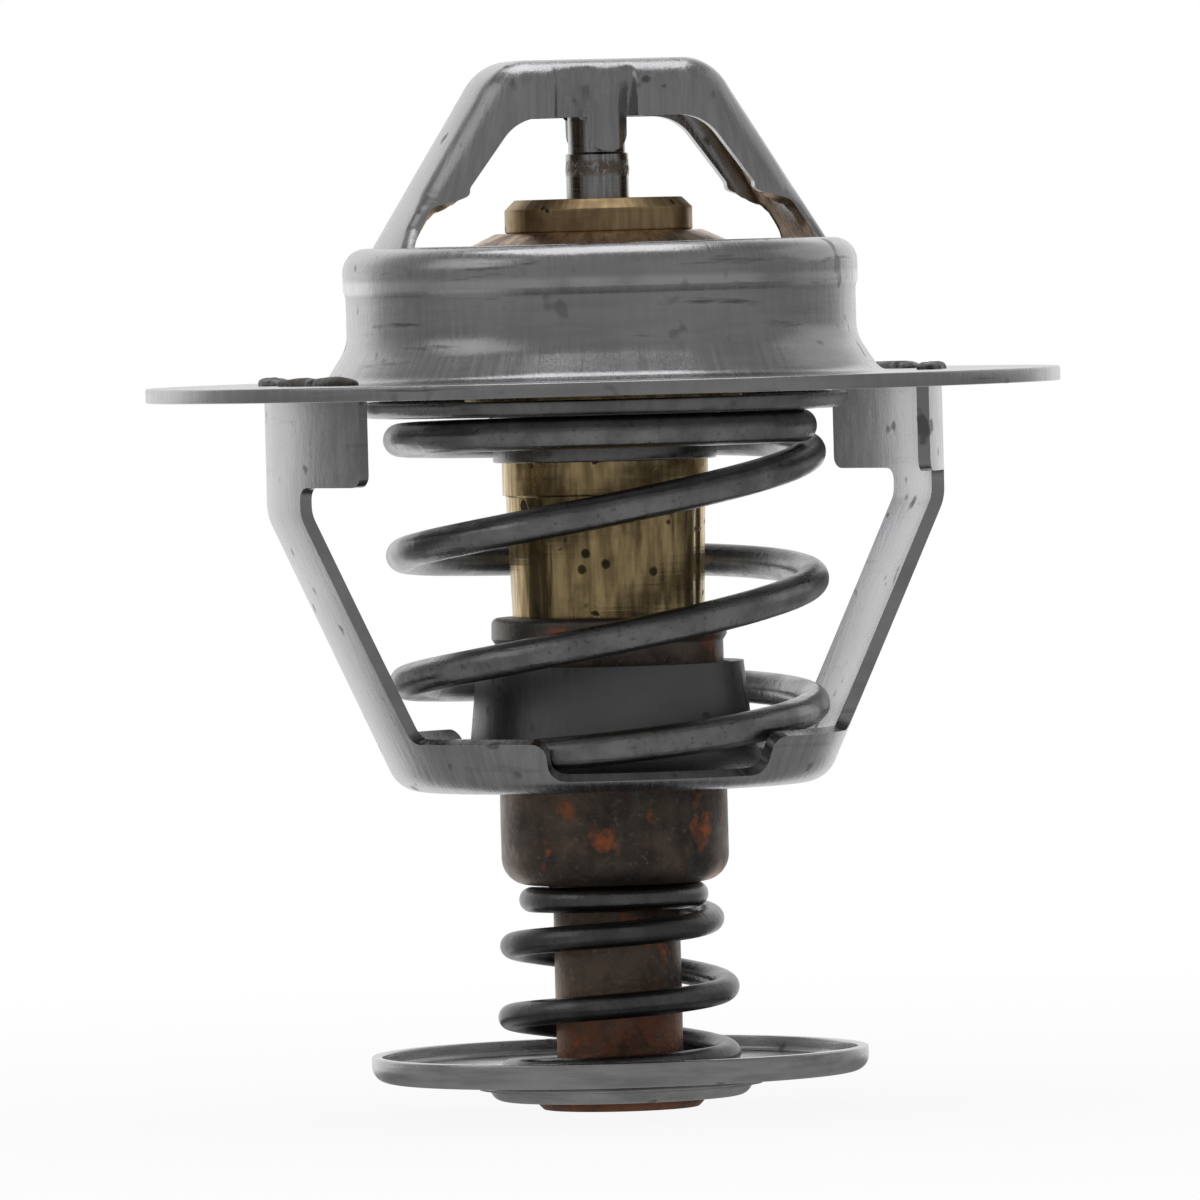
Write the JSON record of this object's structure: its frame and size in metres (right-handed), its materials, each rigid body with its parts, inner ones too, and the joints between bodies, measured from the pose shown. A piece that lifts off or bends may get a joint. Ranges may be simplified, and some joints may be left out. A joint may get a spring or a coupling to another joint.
{
  "type": "engine thermostat",
  "caption": "Wax-element coolant thermostat: round flange, hat with a bridge over the valve, stirrup frame with the closing spring, and a sprung bypass disc on the stem.",
  "frame": {"origin": "on the valve axis, in the plane of the flange's underside", "axes": "+Z along the valve axis towards the bridge; the bridge's legs and the frame's arms lie on the X axis"},
  "size_m": [0.054, 0.054, 0.0619],
  "materials": {
    "housing_steel": "satin, drawn, zinc plated",
    "frame_steel": "satin, zinc plated",
    "piston_steel": "ground, lightly scaled",
    "valve_brass": "tarnished",
    "guide_brass": "turned, tarnished",
    "seal_rubber": "matt",
    "washer_plastic": "matt white",
    "boot_rubber": "matt",
    "wax": "matt, copper-filled wax",
    "cup_copper": "oxidised copper",
    "disc_steel": "satin, zinc plated",
    "spring_steel": "dark, oil tempered",
    "bypass_spring_steel": "dark, oil tempered",
    "bypass_steel": "satin, lightly soiled"
  },
  "bodies": {
    "frame": {"bridge_housing": "housing_steel", "support_frame": "frame_steel", "piston": "piston_steel", "main_spring": "spring_steel"},
    "element": {"valve_plate": "valve_brass", "element_guide": "guide_brass", "piston_seal": "seal_rubber", "backing_washer": "washer_plastic", "rubber_boot": "boot_rubber", "wax_charge": "wax", "wax_cup": "cup_copper", "spring_seat": "disc_steel", "bypass_spring": "bypass_spring_steel"},
    "bypass": {"bypass_disc": "bypass_steel"}
  },
  "joints": [
    {"name": "valve_travel", "type": "slide", "parent": "frame", "child": "element", "axis": [0, 0, -1], "range_m": [0, 0.008], "stiffness_N_per_m": 3900, "springref_m": -0.02, "deforming": ["main_spring"]},
    {"name": "bypass_travel", "type": "slide", "parent": "element", "child": "bypass", "axis": [0, 0, 1], "range_m": [0, 0.0045], "stiffness_N_per_m": 2500, "springref_m": -0.004, "deforming": ["bypass_spring"]}
  ]
}
